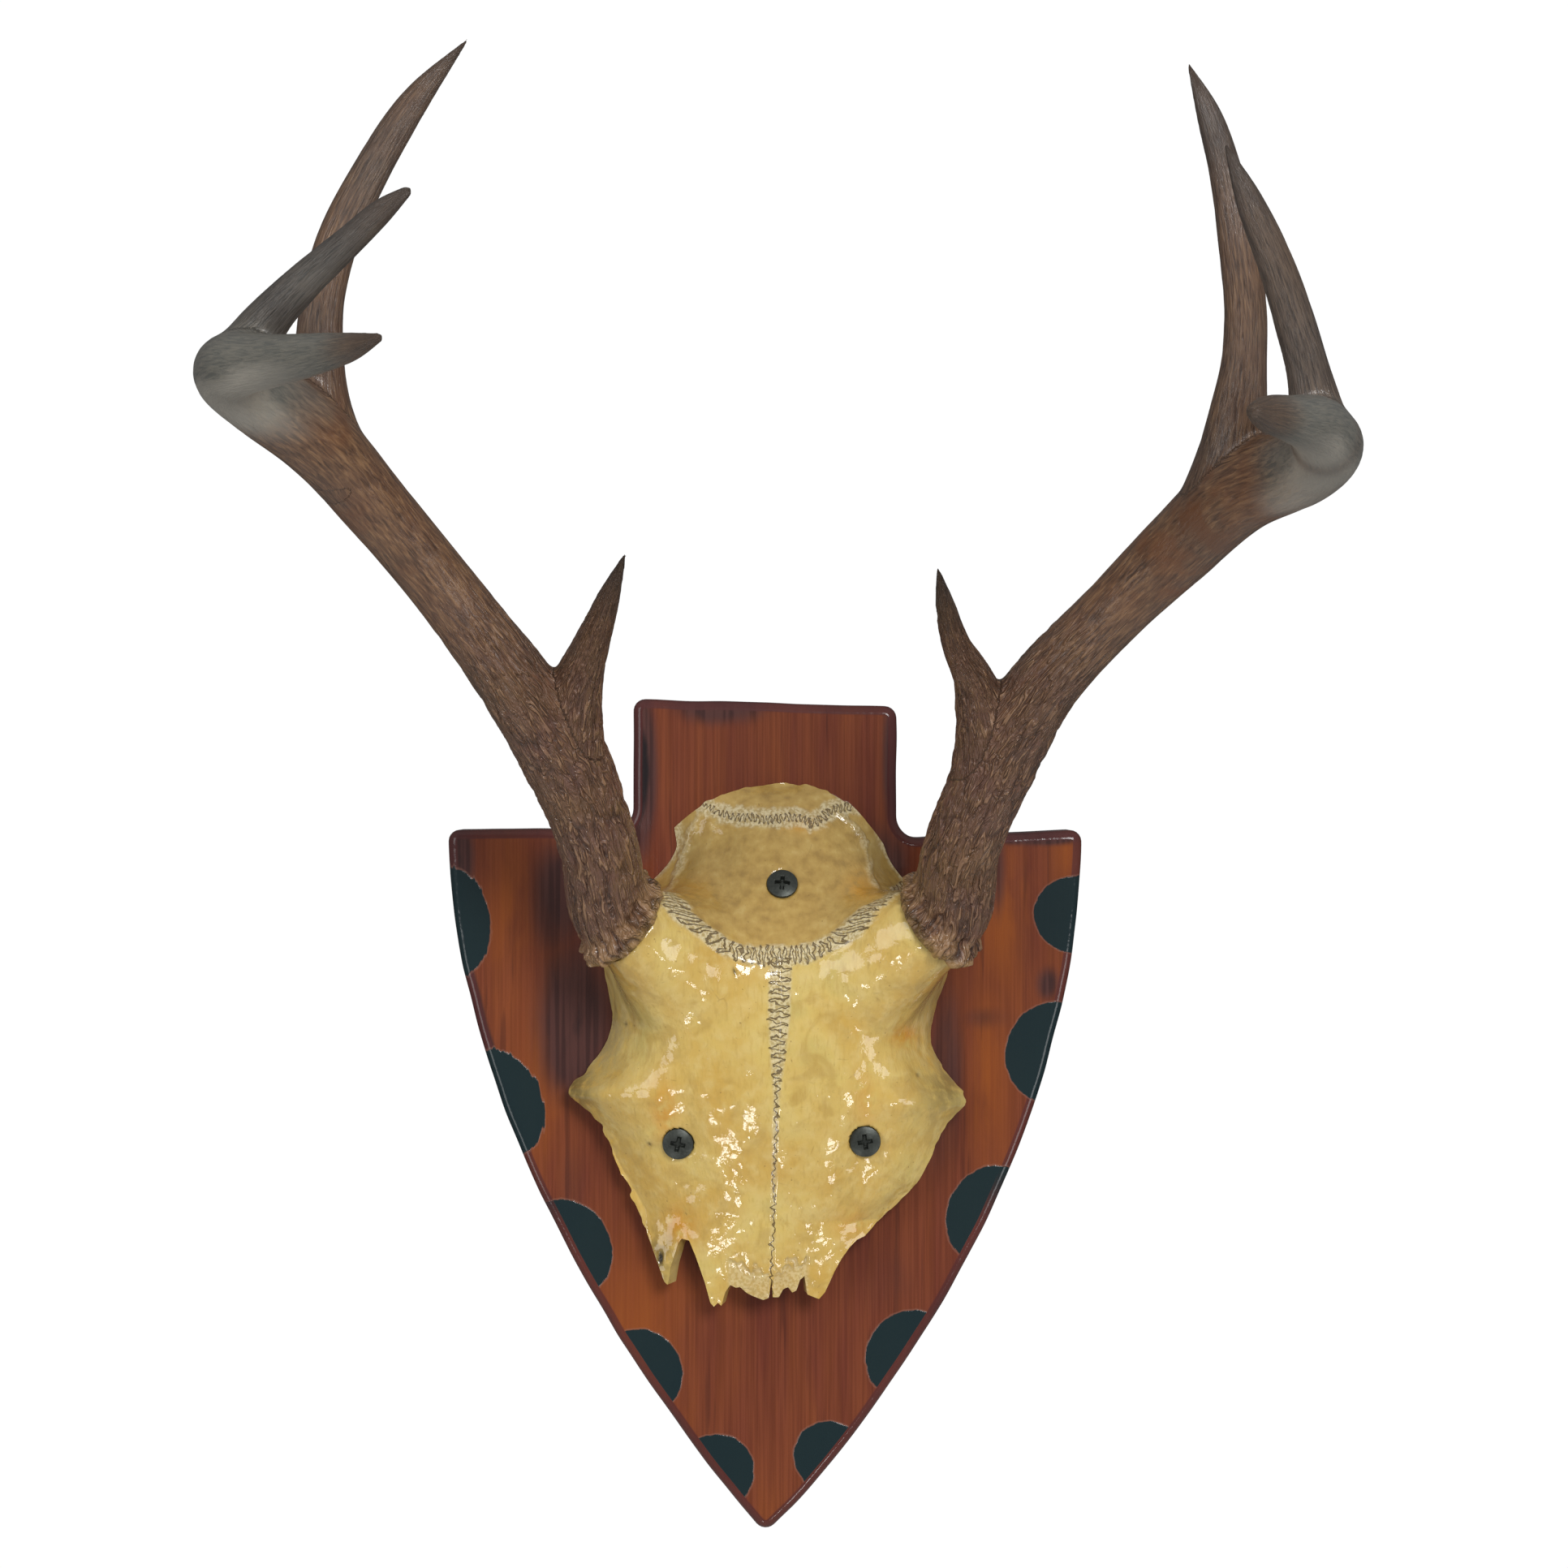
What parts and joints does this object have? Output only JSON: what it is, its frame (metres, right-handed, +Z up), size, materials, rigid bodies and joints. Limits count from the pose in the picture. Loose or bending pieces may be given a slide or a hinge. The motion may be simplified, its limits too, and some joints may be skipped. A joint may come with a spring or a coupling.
{
  "type": "antler mounting plaque",
  "caption": "Arrowhead-shaped varnished pine plaque carrying a deer's skull cap with both antlers, held by cross-recess screws, for hanging flat on a wall.",
  "frame": {"origin": "middle of the board's back face, on the wall", "axes": "+Z up, +Y into the wall, -Y out from the wall, +X to the right of someone facing the plaque"},
  "size_m": [0.2843, 0.2873, 0.4025],
  "materials": {
    "board": "gloss varnish over red-brown stain",
    "bone": "gloss varnish over yellowed bone",
    "antler": "wrinkled, satin",
    "screw": "black oxide"
  },
  "bodies": {
    "root": {"plaque_board": "board", "skull_cap": "bone", "antler_left": "antler", "antler_right": "antler", "screw_top": "screw", "screw_lower_left": "screw", "screw_lower_right": "screw"}
  },
  "joints": []
}
